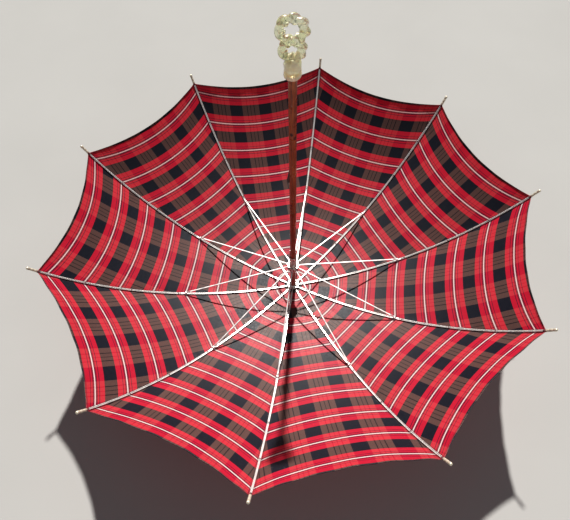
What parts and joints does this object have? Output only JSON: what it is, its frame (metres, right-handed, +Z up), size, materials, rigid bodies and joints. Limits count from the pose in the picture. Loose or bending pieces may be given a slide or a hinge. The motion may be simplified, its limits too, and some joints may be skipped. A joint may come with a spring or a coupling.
{
  "type": "stick umbrella",
  "caption": "Open stick umbrella with a tartan cloth canopy on steel ribs, a sliding runner, a wooden shaft and a clear rope-twist handle.",
  "frame": {"origin": "centre of the ferrule tip, the lowest point of the shaft", "axes": "+Z up the shaft from the ferrule tip to the handle, +Y along rib 01; the canopy is open, so its height is less than its width"},
  "size_m": [0.9784, 1.028, 0.7649],
  "materials": {
    "lacquered_wood": "reddish-brown varnished wood with small dark knots",
    "clear_acrylic": "clear cast acrylic with a yellow tint, moulded as twisted rope",
    "nickel": "nickel plate, slightly worn",
    "bright_steel": "bright plated steel",
    "black_steel": "blackened spring steel",
    "tarnished_brass": "tarnished, beige to grey",
    "tartan_cloth": "thin woven tartan: red bands, black and tan blocks, fine white lines",
    "black_cloth": "black felt washer"
  },
  "bodies": {
    "root": {"shaft": "lacquered_wood", "handle": "clear_acrylic", "ferrule": "nickel", "canopy_cap": "nickel", "inner_rosette": "black_cloth", "crown_ring": "nickel"},
    "runner": {"runner": "nickel"},
    "top_catch": {"top_catch": "bright_steel"},
    "bottom_catch": {"bottom_catch": "black_steel"},
    "rib_01": {"rib_inner_01": "bright_steel", "gore_01": "tartan_cloth"},
    "rib_end_01": {"rib_outer_01": "bright_steel", "rib_tip_01": "tarnished_brass"},
    "stretcher_01": {"stretcher_01": "bright_steel"},
    "rib_02": {"rib_inner_02": "bright_steel", "gore_02": "tartan_cloth"},
    "rib_end_02": {"rib_outer_02": "bright_steel", "rib_tip_02": "tarnished_brass"},
    "stretcher_02": {"stretcher_02": "bright_steel"},
    "rib_03": {"rib_inner_03": "bright_steel", "gore_03": "tartan_cloth"},
    "rib_end_03": {"rib_outer_03": "bright_steel", "rib_tip_03": "tarnished_brass"},
    "stretcher_03": {"stretcher_03": "bright_steel"},
    "rib_04": {"rib_inner_04": "bright_steel", "gore_04": "tartan_cloth"},
    "rib_end_04": {"rib_outer_04": "bright_steel", "rib_tip_04": "tarnished_brass"},
    "stretcher_04": {"stretcher_04": "bright_steel"},
    "rib_05": {"rib_inner_05": "bright_steel", "gore_05": "tartan_cloth"},
    "rib_end_05": {"rib_outer_05": "bright_steel", "rib_tip_05": "tarnished_brass"},
    "stretcher_05": {"stretcher_05": "bright_steel"},
    "rib_06": {"rib_inner_06": "bright_steel", "gore_06": "tartan_cloth"},
    "rib_end_06": {"rib_outer_06": "bright_steel", "rib_tip_06": "tarnished_brass"},
    "stretcher_06": {"stretcher_06": "bright_steel"},
    "rib_07": {"rib_inner_07": "bright_steel", "gore_07": "tartan_cloth"},
    "rib_end_07": {"rib_outer_07": "bright_steel", "rib_tip_07": "tarnished_brass"},
    "stretcher_07": {"stretcher_07": "bright_steel"},
    "rib_08": {"rib_inner_08": "bright_steel", "gore_08": "tartan_cloth"},
    "rib_end_08": {"rib_outer_08": "bright_steel", "rib_tip_08": "tarnished_brass"},
    "stretcher_08": {"stretcher_08": "bright_steel"},
    "rib_09": {"rib_inner_09": "bright_steel", "gore_09": "tartan_cloth"},
    "rib_end_09": {"rib_outer_09": "bright_steel", "rib_tip_09": "tarnished_brass"},
    "stretcher_09": {"stretcher_09": "bright_steel"},
    "rib_10": {"rib_inner_10": "bright_steel", "gore_10": "tartan_cloth"},
    "rib_end_10": {"rib_outer_10": "bright_steel", "rib_tip_10": "tarnished_brass"},
    "stretcher_10": {"stretcher_10": "bright_steel"}
  },
  "joints": [
    {"name": "fold", "type": "hinge", "parent": "root", "child": "rib_01", "pos_m": [0, 0.011, 0.072], "axis": [1, 0, 0], "range_deg": [0, 75], "deforming": ["gore_01", "gore_02", "gore_03", "gore_04", "gore_05", "gore_06", "gore_07", "gore_08", "gore_09", "gore_10", "top_catch", "bottom_catch"]},
    {"name": "rib_flex_01", "type": "hinge", "parent": "rib_01", "child": "rib_end_01", "pos_m": [0, 0.27785, 0.12422], "axis": [1, 0, 0], "range_deg": [-22.5, 0.5]},
    {"name": "stretcher_pivot_01", "type": "hinge", "parent": "rib_01", "child": "stretcher_01", "pos_m": [0, 0.23876, 0.11322], "axis": [1, 0, 0], "range_deg": [-151, 1]},
    {"name": "rib_pivot_02", "type": "hinge", "parent": "root", "child": "rib_02", "pos_m": [0.00647, 0.0089, 0.072], "axis": [0.809, -0.5878, 0], "range_deg": [-0.5, 75.5]},
    {"name": "rib_flex_02", "type": "hinge", "parent": "rib_02", "child": "rib_end_02", "pos_m": [0.16332, 0.22479, 0.12422], "axis": [0.809, -0.5878, 0], "range_deg": [-22.5, 0.5]},
    {"name": "stretcher_pivot_02", "type": "hinge", "parent": "rib_02", "child": "stretcher_02", "pos_m": [0.14034, 0.19316, 0.11322], "axis": [0.809, -0.5878, 0], "range_deg": [-151, 1]},
    {"name": "rib_pivot_03", "type": "hinge", "parent": "root", "child": "rib_03", "pos_m": [0.01046, 0.0034, 0.072], "axis": [0.309, -0.9511, 0], "range_deg": [-0.5, 75.5]},
    {"name": "rib_flex_03", "type": "hinge", "parent": "rib_03", "child": "rib_end_03", "pos_m": [0.26425, 0.08586, 0.12422], "axis": [0.309, -0.9511, 0], "range_deg": [-22.5, 0.5]},
    {"name": "stretcher_pivot_03", "type": "hinge", "parent": "rib_03", "child": "stretcher_03", "pos_m": [0.22707, 0.07378, 0.11322], "axis": [0.309, -0.9511, 0], "range_deg": [-151, 1]},
    {"name": "rib_pivot_04", "type": "hinge", "parent": "root", "child": "rib_04", "pos_m": [0.01046, -0.0034, 0.072], "axis": [-0.309, -0.9511, 0], "range_deg": [-0.5, 75.5]},
    {"name": "rib_flex_04", "type": "hinge", "parent": "rib_04", "child": "rib_end_04", "pos_m": [0.26425, -0.08586, 0.12422], "axis": [-0.309, -0.9511, 0], "range_deg": [-22.5, 0.5]},
    {"name": "stretcher_pivot_04", "type": "hinge", "parent": "rib_04", "child": "stretcher_04", "pos_m": [0.22707, -0.07378, 0.11322], "axis": [-0.309, -0.9511, 0], "range_deg": [-151, 1]},
    {"name": "rib_pivot_05", "type": "hinge", "parent": "root", "child": "rib_05", "pos_m": [0.00647, -0.0089, 0.072], "axis": [-0.809, -0.5878, 0], "range_deg": [-0.5, 75.5]},
    {"name": "rib_flex_05", "type": "hinge", "parent": "rib_05", "child": "rib_end_05", "pos_m": [0.16332, -0.22479, 0.12422], "axis": [-0.809, -0.5878, 0], "range_deg": [-22.5, 0.5]},
    {"name": "stretcher_pivot_05", "type": "hinge", "parent": "rib_05", "child": "stretcher_05", "pos_m": [0.14034, -0.19316, 0.11322], "axis": [-0.809, -0.5878, 0], "range_deg": [-151, 1]},
    {"name": "rib_pivot_06", "type": "hinge", "parent": "root", "child": "rib_06", "pos_m": [0, -0.011, 0.072], "axis": [-1, 0, 0], "range_deg": [-0.5, 75.5]},
    {"name": "rib_flex_06", "type": "hinge", "parent": "rib_06", "child": "rib_end_06", "pos_m": [0, -0.27785, 0.12422], "axis": [-1, 0, 0], "range_deg": [-22.5, 0.5]},
    {"name": "stretcher_pivot_06", "type": "hinge", "parent": "rib_06", "child": "stretcher_06", "pos_m": [0, -0.23876, 0.11322], "axis": [-1, 0, 0], "range_deg": [-151, 1]},
    {"name": "rib_pivot_07", "type": "hinge", "parent": "root", "child": "rib_07", "pos_m": [-0.00647, -0.0089, 0.072], "axis": [-0.809, 0.5878, 0], "range_deg": [-0.5, 75.5]},
    {"name": "rib_flex_07", "type": "hinge", "parent": "rib_07", "child": "rib_end_07", "pos_m": [-0.16332, -0.22479, 0.12422], "axis": [-0.809, 0.5878, 0], "range_deg": [-22.5, 0.5]},
    {"name": "stretcher_pivot_07", "type": "hinge", "parent": "rib_07", "child": "stretcher_07", "pos_m": [-0.14034, -0.19316, 0.11322], "axis": [-0.809, 0.5878, 0], "range_deg": [-151, 1]},
    {"name": "rib_pivot_08", "type": "hinge", "parent": "root", "child": "rib_08", "pos_m": [-0.01046, -0.0034, 0.072], "axis": [-0.309, 0.9511, 0], "range_deg": [-0.5, 75.5]},
    {"name": "rib_flex_08", "type": "hinge", "parent": "rib_08", "child": "rib_end_08", "pos_m": [-0.26425, -0.08586, 0.12422], "axis": [-0.309, 0.9511, 0], "range_deg": [-22.5, 0.5]},
    {"name": "stretcher_pivot_08", "type": "hinge", "parent": "rib_08", "child": "stretcher_08", "pos_m": [-0.22707, -0.07378, 0.11322], "axis": [-0.309, 0.9511, 0], "range_deg": [-151, 1]},
    {"name": "rib_pivot_09", "type": "hinge", "parent": "root", "child": "rib_09", "pos_m": [-0.01046, 0.0034, 0.072], "axis": [0.309, 0.9511, 0], "range_deg": [-0.5, 75.5]},
    {"name": "rib_flex_09", "type": "hinge", "parent": "rib_09", "child": "rib_end_09", "pos_m": [-0.26425, 0.08586, 0.12422], "axis": [0.309, 0.9511, 0], "range_deg": [-22.5, 0.5]},
    {"name": "stretcher_pivot_09", "type": "hinge", "parent": "rib_09", "child": "stretcher_09", "pos_m": [-0.22707, 0.07378, 0.11322], "axis": [0.309, 0.9511, 0], "range_deg": [-151, 1]},
    {"name": "rib_pivot_10", "type": "hinge", "parent": "root", "child": "rib_10", "pos_m": [-0.00647, 0.0089, 0.072], "axis": [0.809, 0.5878, 0], "range_deg": [-0.5, 75.5]},
    {"name": "rib_flex_10", "type": "hinge", "parent": "rib_10", "child": "rib_end_10", "pos_m": [-0.16332, 0.22479, 0.12422], "axis": [0.809, 0.5878, 0], "range_deg": [-22.5, 0.5]},
    {"name": "stretcher_pivot_10", "type": "hinge", "parent": "rib_10", "child": "stretcher_10", "pos_m": [-0.14034, 0.19316, 0.11322], "axis": [0.809, 0.5878, 0], "range_deg": [-151, 1]},
    {"name": "runner_pivot", "type": "hinge", "parent": "stretcher_01", "child": "runner", "pos_m": [0, 0.011, 0.15445], "axis": [1, 0, 0], "range_deg": [-0.5, 75.5]},
    {"name": "top_catch_press", "type": "hinge", "parent": "root", "child": "top_catch", "pos_m": [-0.00445, -0.0007, 0.2145], "axis": [-0.1564, 0.9877, 0], "range_deg": [-8, 0], "stiffness_Nm_per_rad": 0.4},
    {"name": "bottom_catch_press", "type": "hinge", "parent": "root", "child": "bottom_catch", "pos_m": [-0.00445, -0.0007, 0.463], "axis": [-0.1564, 0.9877, 0], "range_deg": [-7, 0], "stiffness_Nm_per_rad": 0.4}
  ],
  "couplings": [
    {"joint": "rib_flex_01", "follows": "fold", "ratio": -0.29333},
    {"joint": "stretcher_pivot_01", "follows": "fold", "ratio": -2},
    {"joint": "rib_pivot_02", "follows": "fold", "ratio": 1},
    {"joint": "rib_flex_02", "follows": "fold", "ratio": -0.29333},
    {"joint": "stretcher_pivot_02", "follows": "fold", "ratio": -2},
    {"joint": "rib_pivot_03", "follows": "fold", "ratio": 1},
    {"joint": "rib_flex_03", "follows": "fold", "ratio": -0.29333},
    {"joint": "stretcher_pivot_03", "follows": "fold", "ratio": -2},
    {"joint": "rib_pivot_04", "follows": "fold", "ratio": 1},
    {"joint": "rib_flex_04", "follows": "fold", "ratio": -0.29333},
    {"joint": "stretcher_pivot_04", "follows": "fold", "ratio": -2},
    {"joint": "rib_pivot_05", "follows": "fold", "ratio": 1},
    {"joint": "rib_flex_05", "follows": "fold", "ratio": -0.29333},
    {"joint": "stretcher_pivot_05", "follows": "fold", "ratio": -2},
    {"joint": "rib_pivot_06", "follows": "fold", "ratio": 1},
    {"joint": "rib_flex_06", "follows": "fold", "ratio": -0.29333},
    {"joint": "stretcher_pivot_06", "follows": "fold", "ratio": -2},
    {"joint": "rib_pivot_07", "follows": "fold", "ratio": 1},
    {"joint": "rib_flex_07", "follows": "fold", "ratio": -0.29333},
    {"joint": "stretcher_pivot_07", "follows": "fold", "ratio": -2},
    {"joint": "rib_pivot_08", "follows": "fold", "ratio": 1},
    {"joint": "rib_flex_08", "follows": "fold", "ratio": -0.29333},
    {"joint": "stretcher_pivot_08", "follows": "fold", "ratio": -2},
    {"joint": "rib_pivot_09", "follows": "fold", "ratio": 1},
    {"joint": "rib_flex_09", "follows": "fold", "ratio": -0.29333},
    {"joint": "stretcher_pivot_09", "follows": "fold", "ratio": -2},
    {"joint": "rib_pivot_10", "follows": "fold", "ratio": 1},
    {"joint": "rib_flex_10", "follows": "fold", "ratio": -0.29333},
    {"joint": "stretcher_pivot_10", "follows": "fold", "ratio": -2},
    {"joint": "runner_pivot", "follows": "fold", "ratio": 1}
  ]
}
